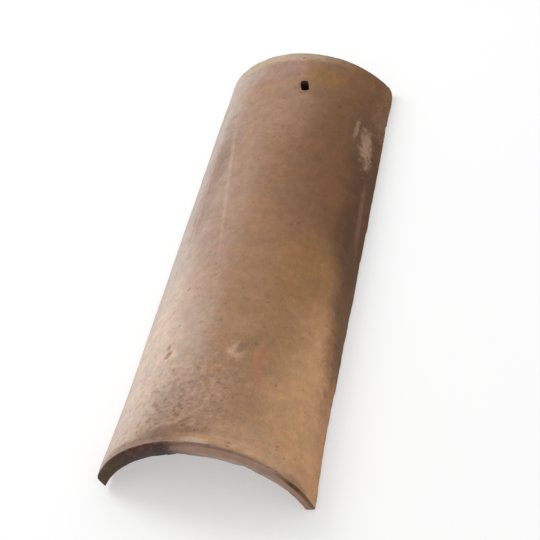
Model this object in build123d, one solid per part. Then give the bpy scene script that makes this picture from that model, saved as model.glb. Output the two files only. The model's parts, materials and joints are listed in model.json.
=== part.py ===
from build123d import *
import math
import os

# A clay barrel tile: one fired piece, an arched trough that lies hollow side down.
# The long axis runs along Y, with the wide end at -Y and the narrow, nailed end at +Y.
# The origin is on the ground, under the middle of the footprint. Sizes are in millimetres.

# The barrel: its length, and the outer radius that the clay was bent to
tile_length = 457.0
barrel_radius = 89.0

# The wide end opens out a little, to sit over the narrow end of the next tile
flare = 3.6
flare_length = 140.0

# Rise of the crown above the feet at each end: a lower rise stands narrower
wide_rise = 72.5
narrow_rise = 46.0

# The wall is thickest along the crown and thins towards the feet of the wide end
crown_wall = 18.0
foot_wall = 9.0

# Each foot is cut square to its wall, and its inner corner is worn flat where it stands
seat_depth = 0.8

# The nail hole is pierced square to the wall, a little to one side of the crown line
nail_hole_diameter = 8.5
nail_hole_setback = 45.5
nail_hole_offset = 4.8
nail_hole_lip = 0.8

# The long outer corner of each foot is well rounded, and the arris round each end is eased
foot_corner_radius = 3.5
end_arris_radius = 1.8

# The wall is made with the barrel's axis along Y at height zero, and the ground slopes under it
wide_end_y = -tile_length / 2
narrow_end_y = tile_length / 2
wide_ground = barrel_radius + flare - wide_rise
narrow_ground = barrel_radius - narrow_rise
ground_slope = math.degrees(math.atan((narrow_ground - wide_ground) / tile_length))

# The inner corner of each foot near the wide end, before the flare and before it is worn
foot_reach = barrel_radius - foot_wall
wide_foot_z = wide_ground - seat_depth
straight_foot_x = math.sqrt(foot_reach**2 - wide_foot_z**2)

# The hollow is a round of its own, through both of those corners and under the crown
hollow_crown = barrel_radius - crown_wall
hollow_rise = hollow_crown - wide_foot_z
hollow_radius = (straight_foot_x**2 + hollow_rise**2) / (2 * hollow_rise)
hollow_centre = hollow_crown - hollow_radius

# The inner corner of each foot at the flared wide end, and at the narrow end
wide_foot_x = math.sqrt((hollow_radius + flare) ** 2 - (wide_foot_z - hollow_centre) ** 2)
narrow_foot_z = narrow_ground - seat_depth
narrow_foot_x = math.sqrt(hollow_radius**2 - (narrow_foot_z - hollow_centre) ** 2)


def flared_bar(radius, centre_z):
    """A round bar along Y, as long as the tile, that opens out at the wide end."""
    flare_start = (radius, wide_end_y + flare_length)
    wide_rim = (radius + flare, wide_end_y)
    outline = Polyline(wide_rim, (0, wide_end_y), (0, narrow_end_y), (radius, narrow_end_y), flare_start)
    bend = TangentArc(flare_start, wide_rim, tangent=(0, -1))
    return Pos(0, 0, centre_z) * revolve(make_face([outline, bend]), axis=Axis.Y)


def ground_plane():
    """The ground that both ends stand on, seen from the barrel's own axis."""
    along = Vector(0, tile_length, narrow_ground - wide_ground)
    return Plane(origin=(0, wide_end_y, wide_ground), x_dir=(1, 0, 0), z_dir=Vector(1, 0, 0).cross(along))


def foot_plane(side):
    """The cut under one foot: square to the wall at the wide end, and straight to the narrow end."""
    wide_corner = Vector(side * wide_foot_x, wide_end_y, wide_foot_z)
    narrow_corner = Vector(side * narrow_foot_x, narrow_end_y, narrow_foot_z)
    outwards = Vector(side * wide_foot_x, 0, wide_foot_z)
    along = narrow_corner - wide_corner
    return Plane(origin=wide_corner, x_dir=along, z_dir=outwards.cross(along) * side)


def arched_wall():
    """The part of the round wall that stands above both foot cuts."""
    wall = flared_bar(barrel_radius, 0) - flared_bar(hollow_radius, hollow_centre)
    for side in (1, -1):
        wall = split(wall, bisect_by=foot_plane(side), keep=Keep.TOP)
    return wall


def is_outer_corner(edge):
    """Whether an edge of a foot runs along the tile on its outer side."""
    middle = edge.center()
    return edge.length > 2 * crown_wall and math.hypot(middle.X, middle.Z) > barrel_radius - foot_wall / 2


def round_feet(wall):
    """Round the long outer corner of each foot."""
    feet = wall.faces().filter_by(GeomType.PLANE).sort_by(Axis.Y)[1:-1]
    return fillet(feet.edges().filter_by(is_outer_corner), foot_corner_radius)


def ease_ends(wall):
    """Ease the arris that runs all the way round each end."""
    faces = wall.faces().sort_by(Axis.Y)
    return fillet(faces[0].edges() + faces[-1].edges(), end_arris_radius)


def wear_seats(wall):
    """Wear the inner corners of the feet flat, where the tile stands on the ground."""
    return split(wall, bisect_by=ground_plane(), keep=Keep.TOP)


def nail_hole_plane():
    """Plane across the mouth of the nail hole, on the outer face, looking outwards."""
    lean = math.asin(nail_hole_offset / barrel_radius)
    outwards = Vector(math.sin(lean), 0, math.cos(lean))
    mouth = Vector(0, narrow_end_y - nail_hole_setback, 0) + outwards * barrel_radius
    return Plane(origin=mouth, z_dir=outwards)


def pierce_nail_hole(wall):
    """Push the nail hole through the wall and bevel its lip on both faces."""
    bar = nail_hole_plane() * Cylinder(nail_hole_diameter / 2, 4 * crown_wall)
    pierced = wall - bar
    lips = new_edges(wall, bar, combined=pierced).filter_by(lambda edge: edge.is_closed)
    return chamfer(lips, nail_hole_lip)


def ground_location(wall):
    """Turn and shift that stand the wall on the ground, its footprint centred on the origin."""
    tipped = Rotation(-ground_slope, 0, 0)
    box = (tipped * wall).bounding_box()
    return Pos(0, -box.center().Y, -box.min.Z) * tipped


def main():
    """Make the tile, say where its nail hole is, and write it out."""
    wall = pierce_nail_hole(wear_seats(ease_ends(round_feet(arched_wall()))))
    location = ground_location(wall)
    tile = location * wall
    mouth = Plane(location * nail_hole_plane().location)
    print("nail hole mouth", mouth.origin, "outward direction", mouth.z_dir)
    os.makedirs("parts", exist_ok=True)
    export_step(tile, "parts/barrel_tile.step")


main()
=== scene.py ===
"""A weathered clay barrel tile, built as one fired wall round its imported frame.

The tile lies hollow side down, with its wide end towards -Y and its nailed end towards +Y.
Lengths are metres and angles radians, unless a name says otherwise.
"""
import json
import logging
import math
from dataclasses import dataclass, field
from enum import Enum
from typing import Any, ClassVar, Dict, Mapping, Optional, Sequence, Tuple, Union

import bpy
from mathutils import Matrix, Vector


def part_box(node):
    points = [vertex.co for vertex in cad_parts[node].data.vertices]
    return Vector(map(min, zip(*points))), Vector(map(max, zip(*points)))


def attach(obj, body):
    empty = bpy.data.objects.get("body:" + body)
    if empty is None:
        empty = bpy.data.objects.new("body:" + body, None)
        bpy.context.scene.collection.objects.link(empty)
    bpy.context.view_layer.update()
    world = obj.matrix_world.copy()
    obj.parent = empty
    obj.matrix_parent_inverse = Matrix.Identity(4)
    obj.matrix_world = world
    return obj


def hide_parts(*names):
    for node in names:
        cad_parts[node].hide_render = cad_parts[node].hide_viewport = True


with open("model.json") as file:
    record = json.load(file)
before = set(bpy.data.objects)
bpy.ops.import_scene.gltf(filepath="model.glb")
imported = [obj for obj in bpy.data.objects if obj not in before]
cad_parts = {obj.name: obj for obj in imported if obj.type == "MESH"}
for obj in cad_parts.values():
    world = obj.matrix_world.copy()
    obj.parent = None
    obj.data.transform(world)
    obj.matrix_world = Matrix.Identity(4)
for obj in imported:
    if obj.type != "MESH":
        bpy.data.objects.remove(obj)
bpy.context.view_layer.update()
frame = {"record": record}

log = logging.getLogger("barrel_tile")

MM = 0.001
NODE = "barrel_tile"
BODY = "root"
FACE_HEIGHT = 0.499
"""How high a point lies on the block, whose half height is 0.5, to be on its upper face."""

Triple = Tuple[float, float, float]
Colour = Tuple[float, float, float, float]
Socket = bpy.types.NodeSocket
Feed = Union[Socket, float, int, bool, str, Sequence[float]]
Feeds = Mapping[Union[str, int], Feed]
Sockets = Mapping[str, str]

WHITE: Colour = (1.0, 1.0, 1.0, 1.0)
PAPER: Colour = (0.8, 0.8, 0.8, 1.0)


def shade(red: int, green: int, blue: int) -> Colour:
    """Turn a colour as a screen shows it into the linear values that a shader takes.

    Args:
        red, green, blue: The colour's parts, each 0 to 255.

    Returns:
        The linear colour, with an alpha of one.
    """
    parts = [part / 255 for part in (red, green, blue)]
    linear = [p / 12.92 if p <= 0.04045 else ((p + 0.055) / 1.055) ** 2.4 for p in parts]
    return (linear[0], linear[1], linear[2], 1.0)


@dataclass(frozen=True)
class Waves:
    """A layer of noise: its waves to a metre, which noise it is, and its finer layers."""

    per_metre: float
    pick: float = 0.0
    detail: float = 2.0
    rough: float = 0.5


@dataclass(frozen=True)
class Ramp:
    """A smooth turn of one stretch of values into another."""

    start: float
    end: float
    low: float = 0.0
    high: float = 1.0


UNEVENLY = Ramp(0.3, 0.7, 0.3, 1.5)
"""Turns a layer of noise into how much more or less of a thing there is."""


class Bench:
    """Lays nodes out in one tree, of geometry or of shading, and links them."""

    PER_COLUMN = 9
    COLUMN_WIDTH = 200
    ROW_HEIGHT = 190

    def __init__(self, tree: bpy.types.NodeTree) -> None:
        """Start work on a tree."""
        self.tree = tree
        self.laid = 0

    def node(self, kind: str, feeds: Optional[Feeds] = None, **settings: Any) -> Any:
        """Lay one node down.

        Args:
            kind: The node's type.
            feeds: What goes into each input, by the input's name or number.
            settings: The node's own options.

        Returns:
            The new node.
        """
        made = self.tree.nodes.new(kind)
        column, row = divmod(self.laid, self.PER_COLUMN)
        made.location = (self.COLUMN_WIDTH * column, -self.ROW_HEIGHT * row)
        self.laid += 1
        for name, value in settings.items():
            setattr(made, name, value)
        for key, value in (feeds or {}).items():
            self.feed(made.inputs[key], value)
        return made

    def feed(self, socket: Socket, value: Feed) -> None:
        """Link a socket to another one, or set its value.

        Args:
            socket: The input that is fed.
            value: The other socket, or the value.
        """
        if isinstance(value, bpy.types.NodeSocket):
            self.tree.links.new(value, socket)
        else:
            socket.default_value = value

    def calc(self, operation: str, *values: Feed, clamp: bool = False) -> Socket:
        """Work out a number from up to three others."""
        feeds = dict(enumerate(values))
        return self.node("ShaderNodeMath", feeds, operation=operation, use_clamp=clamp).outputs[0]

    def plus(self, first: Feed, second: Feed) -> Socket:
        """Add two numbers."""
        return self.calc("ADD", first, second)

    def minus(self, first: Feed, second: Feed) -> Socket:
        """Take the second number from the first."""
        return self.calc("SUBTRACT", first, second)

    def times(self, first: Feed, second: Feed) -> Socket:
        """Multiply two numbers."""
        return self.calc("MULTIPLY", first, second)

    def vector(self, operation: str, *values: Feed) -> Socket:
        """Work out a vector from up to three others."""
        feeds = dict(enumerate(values))
        return self.node("ShaderNodeVectorMath", feeds, operation=operation).outputs["Vector"]

    def length(self, value: Feed) -> Socket:
        """Measure a vector's length."""
        return self.node("ShaderNodeVectorMath", {0: value}, operation="LENGTH").outputs["Value"]

    def scaled(self, value: Feed, by: Feed) -> Socket:
        """Multiply a vector by one number."""
        feeds = {0: value, "Scale": by}
        return self.node("ShaderNodeVectorMath", feeds, operation="SCALE").outputs["Vector"]

    def turned(self, value: Feed, angle: Feed, axis: str = "Z") -> Socket:
        """Turn a vector round one axis."""
        feeds = {"Vector": value, "Angle": angle}
        return self.node("ShaderNodeVectorRotate", feeds, rotation_type=axis + "_AXIS").outputs[0]

    def parts(self, value: Feed) -> Tuple[Socket, Socket, Socket]:
        """Take a vector apart."""
        split = self.node("ShaderNodeSeparateXYZ", {0: value})
        return split.outputs[0], split.outputs[1], split.outputs[2]

    def joined(self, x: Feed = 0.0, y: Feed = 0.0, z: Feed = 0.0) -> Socket:
        """Put a vector together."""
        return self.node("ShaderNodeCombineXYZ", {0: x, 1: y, 2: z}).outputs[0]

    def remap(self, value: Feed, start: Feed, end: Feed, low: Feed = 0.0, high: Feed = 1.0) -> Socket:
        """Turn a stretch of values smoothly into another, and hold it level outside.

        Args:
            value: The value to turn.
            start, end: The stretch it comes from.
            low, high: The stretch it goes to.

        Returns:
            The new value.
        """
        feeds = {"Value": value, "From Min": start, "From Max": end, "To Min": low, "To Max": high}
        return self.node("ShaderNodeMapRange", feeds, interpolation_type="SMOOTHSTEP").outputs[0]

    def ramped(self, value: Feed, ramp: Ramp) -> Socket:
        """Turn a value as a named ramp says."""
        return self.remap(value, ramp.start, ramp.end, ramp.low, ramp.high)

    def between(self, share: Feed, first: Feed, second: Feed) -> Socket:
        """Mix two numbers."""
        return self.node("ShaderNodeMix", {0: share, 2: first, 3: second}, data_type="FLOAT").outputs[0]

    def between_places(self, share: Feed, first: Feed, second: Feed) -> Socket:
        """Mix two vectors."""
        return self.node("ShaderNodeMix", {0: share, 4: first, 5: second}, data_type="VECTOR").outputs[1]

    def tinted(self, share: Feed, first: Feed, second: Feed, blend: str = "MIX") -> Socket:
        """Mix two colours, the second over the first."""
        feeds = {0: share, 6: first, 7: second}
        return self.node("ShaderNodeMix", feeds, data_type="RGBA", blend_type=blend).outputs[2]

    def noise(self, place: Feed, scale: Feed, seed: Feed, detail: float, rough: float) -> Any:
        """Lay down a seeded noise.

        Args:
            place: Where it is read.
            scale: Waves to a metre.
            seed: Picks one noise out of many.
            detail: How many finer layers it has.
            rough: How strong those are.

        Returns:
            The noise's node, whose first output is a value of 0 to 1.
        """
        feeds = {"Vector": place, "W": seed, "Scale": scale, "Detail": detail, "Roughness": rough}
        return self.node("ShaderNodeTexNoise", feeds, noise_dimensions="4D")

    def waved(self, place: Feed, waves: Waves, seed: Feed) -> Socket:
        """Read a named layer of noise, 0 to 1, at a place."""
        picked = self.plus(seed, waves.pick)
        return self.noise(place, waves.per_metre, picked, waves.detail, waves.rough).outputs[0]

    def wavered(self, place: Feed, waves: Waves, seed: Feed) -> Tuple[Socket, Socket, Socket]:
        """Read three unlike noises round zero at a place.

        Args:
            place: Where they are read.
            waves: The layer of noise.
            seed: Picks three noises out of many.

        Returns:
            The three values, each about -0.5 to 0.5.
        """
        picked = self.plus(seed, waves.pick)
        made = self.noise(place, waves.per_metre, picked, waves.detail, waves.rough)
        return self.parts(self.vector("SUBTRACT", made.outputs["Color"], (0.5, 0.5, 0.5)))

    def cells(self, place: Feed, scale: Feed, seed: Feed) -> Tuple[Socket, Socket]:
        """Scatter cells.

        Args:
            place: Where they are read.
            scale: Cells to a metre.
            seed: Picks one scatter out of many.

        Returns:
            The distance to the nearest cell, and a random number for it.
        """
        feeds = {"Vector": place, "W": seed, "Scale": scale}
        made = self.node("ShaderNodeTexVoronoi", feeds, voronoi_dimensions="4D")
        tone = self.parts(made.outputs["Color"])[0]
        return made.outputs["Distance"], tone

    def oval(self, flat: Feed, centre: Feed, half_size: Feed, lean: Feed) -> Socket:
        """Measure how far out of a leaning oval a place is.

        Args:
            flat: The place on the laid-out wall.
            centre: The oval's middle.
            half_size: Half its width, length and depth.
            lean: How far it leans to the right, going from the wide end to the nailed end.

        Returns:
            Nought in the middle, one on the rim, and more outside.
        """
        step = self.turned(self.vector("SUBTRACT", flat, centre), lean)
        return self.length(self.vector("DIVIDE", step, half_size))


def new_group(name: str, kind: str, inputs: Sockets, outputs: Sockets) -> Tuple[Bench, Any, Any]:
    """Start a node group with named sockets.

    Args:
        name: The group's name.
        kind: The type of tree.
        inputs, outputs: Each socket's name, with the short name of its type.

    Returns:
        A bench for the tree, its group input node and its group output node.
    """
    tree = bpy.data.node_groups.new(name, kind)
    for side, sockets in (("INPUT", inputs), ("OUTPUT", outputs)):
        for socket, type_name in sockets.items():
            tree.interface.new_socket(socket, in_out=side, socket_type="NodeSocket" + type_name)
    bench = Bench(tree)
    return bench, bench.node("NodeGroupInput"), bench.node("NodeGroupOutput")


class Face(Enum):
    """The three faces that a barrel tile shows, each with a finish of its own."""

    BACK = "back"
    HOLLOW = "hollow"
    CUT = "cut"


Finishes = Mapping[Face, bpy.types.Material]


def in_metres(sizes_mm: Sequence[float]) -> Tuple[float, ...]:
    """Turn sizes in millimetres into metres."""
    return tuple(size * MM for size in sizes_mm)


@dataclass(frozen=True)
class Mark:
    """A dent in the back of the tile, or a crust on it where its depth is below zero.

    Its place is the arc from the crown line, to the right, and the distance along from mid-length.
    """

    name: str
    place_mm: Tuple[float, float]
    half_size_mm: Tuple[float, float]
    depth_mm: float
    lean: float = 0.0
    pits: float = 0.0

    FADE: ClassVar[Ramp] = Ramp(1.2, 0.4)

    def inside(self, b: Bench, flat: Socket) -> Socket:
        """Tell how far inside the mark a place is.

        Args:
            b: The bench of the tree that asks.
            flat: The place on the laid-out wall.

        Returns:
            One in the mark's middle, falling to none at its edge.
        """
        centre = (*in_metres(self.place_mm), 0.0)
        out = b.oval(flat, centre, (*in_metres(self.half_size_mm), 1.0), self.lean)
        out.node.label = self.name
        return b.ramped(out, self.FADE)


@dataclass
class Barrel:
    """The tile's wall: a slice of a thick round barrel, narrower at the nailed end."""

    length: float = 457 * MM
    barrel_radius: float = 89 * MM
    flare: float = 3.6 * MM
    flare_length: float = 140 * MM
    wide_rise: float = 72.5 * MM
    narrow_rise: float = 46 * MM
    crown_wall: float = 18 * MM
    foot_wall: float = 9 * MM
    seat_depth: float = 0.8 * MM
    end_arris: float = 1.9 * MM
    foot_corner: float = 3.4 * MM
    wide_corner: float = 3 * MM
    narrow_corner: float = 7.5 * MM
    worn_foot: float = 6.2 * MM
    worn_foot_length: float = 45 * MM
    worn_foot_lean: float = 1.24
    skew: float = 2.2 * MM
    hole_lip: float = 0.5 * MM
    hole_stretch: Triple = (0.72, 1.4, 1.0)
    hole_square: float = 0.45
    hole_turn: float = math.radians(14)
    columns: int = 149
    rows: int = 301
    layers: int = 9
    crowding: float = 0.72
    hole_cells: float = 4.0
    hole_reach: float = 13.0
    hole_spread: float = 0.62 * MM
    seed: float = 7.3

    SHARED: ClassVar[Tuple[str, ...]] = (
        "length", "barrel_radius", "middle_radius", "hollow_radius", "hollow_centre", "flare",
        "flare_length", "wide_foot_angle", "narrow_foot_angle", "foot_splay", "slope", "end_arris",
        "foot_corner", "wide_corner", "narrow_corner", "worn_foot", "worn_foot_length",
        "worn_foot_lean", "skew", "hole_lip", "hole_stretch", "hole_square", "hole_turn", "columns",
        "rows", "layers", "crowding", "hole_cells", "hole_reach", "hole_spread", "seed")
    """The sizes that the wall's tree takes as they are."""

    @property
    def wide_ground(self) -> float:
        """Height of the ground over the barrel's axis at the wide end."""
        return self.barrel_radius + self.flare - self.wide_rise

    @property
    def narrow_ground(self) -> float:
        """Height of the ground over the barrel's axis at the narrow end."""
        return self.barrel_radius - self.narrow_rise

    @property
    def slope(self) -> float:
        """Angle between the barrel's axis and the ground."""
        return math.atan((self.narrow_ground - self.wide_ground) / self.length)

    @property
    def hollow_radius(self) -> float:
        """Radius of the round hollow before its flare.

        Returns:
            The radius of the round through the crown and both feet of the wide end.
        """
        height = self.wide_ground - self.seat_depth
        across = math.sqrt((self.barrel_radius - self.foot_wall) ** 2 - height**2)
        rise = self.barrel_radius - self.crown_wall - height
        return (across**2 + rise**2) / (2 * rise)

    @property
    def hollow_centre(self) -> float:
        """Height of the hollow's centre over the barrel's axis."""
        return self.barrel_radius - self.crown_wall - self.hollow_radius

    def foot(self, ground: float, opened: float) -> Tuple[float, float]:
        """Find the inner corner of a foot, before it is worn.

        Args:
            ground: Height of the ground over the barrel's axis.
            opened: How much the flare adds to the radius there.

        Returns:
            The corner's place, across and up from the axis.
        """
        height = ground - self.seat_depth
        drop = height - self.hollow_centre
        return math.sqrt((self.hollow_radius + opened) ** 2 - drop**2), height

    @property
    def wide_foot(self) -> Tuple[float, float]:
        """Inner corner of the foot at the wide end."""
        return self.foot(self.wide_ground, self.flare)

    @property
    def narrow_foot(self) -> Tuple[float, float]:
        """Inner corner of the foot at the narrow end."""
        return self.foot(self.narrow_ground, 0.0)

    @property
    def wide_foot_angle(self) -> float:
        """Angle from the crown to each foot at the wide end."""
        return math.atan2(*self.wide_foot)

    @property
    def narrow_foot_angle(self) -> float:
        """Angle from the crown to the inner corner of each foot at the narrow end."""
        return math.atan2(*self.narrow_foot)

    @property
    def foot_splay(self) -> float:
        """How far the foot's cut leans outwards at the narrow end.

        Returns:
            The angle from the inner corner of the foot to the outer one, seen from the axis.
        """
        across, height = self.narrow_foot
        lean = self.wide_foot_angle
        along = across * math.sin(lean) + height * math.cos(lean)
        step = math.sqrt(along**2 + self.barrel_radius**2 - across**2 - height**2) - along
        outer = math.atan2(across + step * math.sin(lean), height + step * math.cos(lean))
        return outer - self.narrow_foot_angle

    @property
    def middle_radius(self) -> float:
        """Radius on which distances across the wall are measured."""
        return self.barrel_radius - self.crown_wall / 2

    def eased(self, share: float) -> float:
        """Crowd grid lines towards both sides of a face, for a share of -1 to 1."""
        return (1 - self.crowding) * share + self.crowding * math.sin(share * math.pi / 2)

    def nearest_line(self, target: float, lines: int) -> int:
        """Find the grid line nearest to a share of -1 to 1."""
        return min(range(lines), key=lambda i: abs(self.eased(2 * i / (lines - 1) - 1) - target))

    def to_barrel(self, point: Vector) -> Vector:
        """Turn a point of the frame into the barrel's own upright axes.

        Args:
            point: The point in the frame.

        Returns:
            The same point, seen from the middle of the barrel's axis.
        """
        low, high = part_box(NODE)
        footprint = Vector((0, (low[1] + high[1]) / 2, low[2]))
        untipped = Matrix.Rotation(self.slope, 3, "X")
        return untipped @ (point - footprint - self.standing_shift())

    def standing_shift(self) -> Vector:
        """Find the move that stands the tipped barrel on the ground.

        Returns:
            The move, which also centres the footprint.
        """
        back = (self.barrel_radius + self.wide_ground) * math.sin(self.slope) / 2
        drop = self.length / 2 * math.sin(self.slope) + self.wide_ground * math.cos(self.slope)
        return Vector((0, -back, -drop))


class WallTree:
    """Geometry nodes that grow the tile's wall from a fine block.

    The block is pierced first, then its corners are worn round, and last it is folded into the barrel,
    stood on the ground and given its relief.
    """

    SOCKET_TYPES = {int: "Int", float: "Float", tuple: "Vector"}
    TUBE_STEPS = 8
    SKIN_HEIGHT = 0.49
    RIM_HEIGHT = 0.4
    FACES_AT_OPEN_EDGE = 1.5
    WELD = 0.0001
    RING_GROWTH = 1.4
    LIP_SHARPNESS = 8.0
    SHORTEST = 1e-6
    UNEVENNESS = Waves(45.0, detail=3.0)
    CORNER_SPREAD = Ramp(0.2, 0.8, 0.7, 1.2)
    ARRIS_SPREAD = Ramp(0.25, 0.75, 0.6, 1.35)
    OUTER_SIDE = Ramp(0.0, 2 * MM)
    OFF_SEAT = Ramp(0.3 * MM, 3 * MM)

    def __init__(self, sizes: Mapping[str, Any], relief: bpy.types.NodeTree, finishes: Finishes) -> None:
        """Write the whole tree.

        Args:
            sizes: The value of each named input, whose type says the input's type.
            relief: The group that says how deep the surface is worn at each place.
            finishes: The material of each face.
        """
        inputs = {name: self.SOCKET_TYPES[type(value)] for name, value in sizes.items()}
        group = new_group("barrel wall", "GeometryNodeTree", inputs, {"Mesh": "Geometry"})
        self.bench, self.given, self.result = group
        b = self.bench
        block = self.pierced_block()
        self.block_place = self.place_now()
        worn_block, arris = self.worn_place(self.flat_place())
        wall = self.stored(block, "block", self.block_place)
        wall = self.stored(wall, "flat", worn_block)
        wall = self.stored(wall, "arris", arris, "FLOAT")
        wall = self.moved(wall, self.folded(worn_block))
        wall = self.weathered(wall, relief)
        wall = b.node("GeometryNodeSetShadeSmooth", {0: wall, 2: True}).outputs[0]
        wall = b.node("GeometryNodeRealizeInstances", {0: wall}).outputs[0]
        b.feed(self.result.inputs[0], self.dressed(wall, finishes))

    def given_size(self, name: str) -> Socket:
        """Read one of the tree's named inputs."""
        return self.given.outputs[name]

    def stored(self, mesh: Socket, name: str, value: Socket, kind: str = "FLOAT_VECTOR") -> Socket:
        """Keep a value at each point of the mesh under a name."""
        feeds = {"Geometry": mesh, "Name": name, "Value": value}
        return self.bench.node("GeometryNodeStoreNamedAttribute", feeds, data_type=kind).outputs[0]

    def kept(self, name: str, kind: str = "FLOAT_VECTOR") -> Socket:
        """Read back a value that was kept under a name."""
        return self.bench.node("GeometryNodeInputNamedAttribute", {"Name": name}, data_type=kind).outputs[0]

    def place_now(self) -> Socket:
        """Read where each point of the mesh is."""
        return self.bench.node("GeometryNodeInputPosition").outputs[0]

    def moved(self, mesh: Socket, place: Socket) -> Socket:
        """Move each point of the mesh to a new place."""
        feeds = {"Geometry": mesh, "Position": place}
        return self.bench.node("GeometryNodeSetPosition", feeds).outputs[0]

    def from_hole(self) -> Tuple[Socket, Socket]:
        """Count the grid cells from the middle of the nail hole.

        Returns:
            The count across and the count along.
        """
        b, size = self.bench, self.given_size
        x, y, _ = b.parts(self.place_now())
        counts = []
        for part, lines, line in ((x, "Columns", "Hole Column"), (y, "Rows", "Hole Row")):
            index = b.times(b.plus(part, 0.5), b.minus(size(lines), 1.0))
            counts.append(b.minus(index, size(line)))
        return counts[0], counts[1]

    def ring(self) -> Socket:
        """Number the square rings of grid lines round the nail hole."""
        across, along = (self.bench.calc("ABSOLUTE", count) for count in self.from_hole())
        return self.bench.calc("MAXIMUM", across, along)

    def pierced_block(self) -> Socket:
        """Make a fine block, one unit each way, with a square shaft where the nail hole goes.

        Returns:
            The block's mesh.
        """
        b, size = self.bench, self.given_size
        feeds = {"Vertices X": size("Columns"), "Vertices Y": size("Rows"), "Vertices Z": size("Layers")}
        block = b.node("GeometryNodeMeshCube", feeds).outputs[0]
        height = b.parts(self.place_now())[2]
        on_skin = b.calc("GREATER_THAN", b.calc("ABSOLUTE", height), self.SKIN_HEIGHT)
        in_hole = b.calc("LESS_THAN", self.ring(), size("Hole Cells"))
        feeds = {"Geometry": block, "Selection": b.times(on_skin, in_hole)}
        block = b.node("GeometryNodeDeleteGeometry", feeds, domain="FACE").outputs[0]
        faces = b.node("GeometryNodeInputMeshEdgeNeighbors").outputs[0]
        is_open = b.calc("LESS_THAN", faces, self.FACES_AT_OPEN_EDGE)
        rim = b.times(is_open, b.calc("GREATER_THAN", height, self.RIM_HEIGHT))
        step = b.joined(z=-1.0 / self.TUBE_STEPS)
        for _ in range(self.TUBE_STEPS):
            feeds = {"Mesh": block, "Selection": rim, "Offset": step}
            shaft = b.node("GeometryNodeExtrudeMesh", feeds, mode="EDGES")
            block, rim = shaft.outputs["Mesh"], shaft.outputs["Top"]
        return b.node("GeometryNodeMergeByDistance", {"Geometry": block, "Distance": self.WELD}).outputs[0]

    def foot_reach(self, share_along: Socket) -> Socket:
        """Find the distance from the crown line to the foot's cut, on the middle radius.

        Args:
            share_along: Place along the tile, -1 at the wide end to 1.

        Returns:
            The distance, shorter where the outer corner of the left foot is worn at the wide end.
        """
        b, size = self.bench, self.given_size
        side, _, height = b.parts(self.block_place)
        share = b.calc("MULTIPLY_ADD", share_along, 0.5, 0.5)
        inner = b.between(share, size("Wide Foot Angle"), size("Narrow Foot Angle"))
        outwards = b.times(b.plus(height, 0.5), share)
        angle = b.calc("MULTIPLY_ADD", outwards, size("Foot Splay"), inner)
        from_end = b.times(share, size("Length"))
        worn = b.remap(from_end, size("Worn Foot Length"), 0.0, 0.0, size("Worn Foot"))
        worn = b.times(worn, b.calc("MULTIPLY_ADD", height, size("Worn Foot Lean"), 1.0))
        worn = b.times(worn, b.calc("LESS_THAN", side, 0.0))
        return b.minus(b.times(angle, size("Middle Radius")), worn)

    def opened(self, along: Socket) -> Socket:
        """Find how much the flare adds to the radius.

        Args:
            along: Distance from mid-length.

        Returns:
            What the flare adds there.
        """
        b, size = self.bench, self.given_size
        from_end = b.calc("MULTIPLY_ADD", size("Length"), 0.5, along)
        share = b.calc("SUBTRACT", 1.0, b.calc("DIVIDE", from_end, size("Flare Length")), clamp=True)
        return b.times(b.times(share, share), size("Flare"))

    def crowded(self, share: Socket) -> Socket:
        """Crowd grid lines towards both sides of a face, for a share of -1 to 1."""
        bent = self.bench.calc("SINE", self.bench.times(share, math.pi / 2))
        return self.bench.between(self.given_size("Crowding"), share, bent)

    def wall_at(self, across: Socket, along: Socket) -> Tuple[Socket, Socket, Socket]:
        """Find the wall at a place on the laid-out tile.

        Args:
            across: Distance from the crown line, on the middle radius.
            along: Distance from mid-length.

        Returns:
            The angle from the crown, the wall's middle radius and its thickness.
        """
        b, size = self.bench, self.given_size
        opened = self.opened(along)
        angle = b.calc("DIVIDE", across, size("Middle Radius"))
        lifted = b.times(size("Hollow Centre"), b.calc("COSINE", angle))
        aside = b.times(size("Hollow Centre"), b.calc("SINE", angle))
        hollow = b.calc("POWER", b.plus(size("Hollow Radius"), opened), 2.0)
        level = b.calc("SQRT", b.minus(hollow, b.times(aside, aside)))
        inside = b.plus(lifted, level)
        outside = b.plus(size("Barrel Radius"), opened)
        middle = b.times(b.plus(inside, outside), 0.5)
        return angle, middle, b.minus(outside, inside)

    def flat_place(self) -> Socket:
        """Lay the block out flat at real size.

        Returns:
            The place across on the middle radius, along, and through the wall.
        """
        b = self.bench
        x, y, z = b.parts(self.block_place)
        half_length = b.times(self.given_size("Length"), 0.5)
        share_along = self.crowded(b.times(y, 2.0))
        across = b.times(self.crowded(b.times(x, 2.0)), self.foot_reach(share_along))
        across, along = self.parted_for_hole(across, b.times(share_along, half_length), z)
        thickness = self.wall_at(across, along)[2]
        return b.joined(across, along, b.times(z, thickness))

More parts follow.
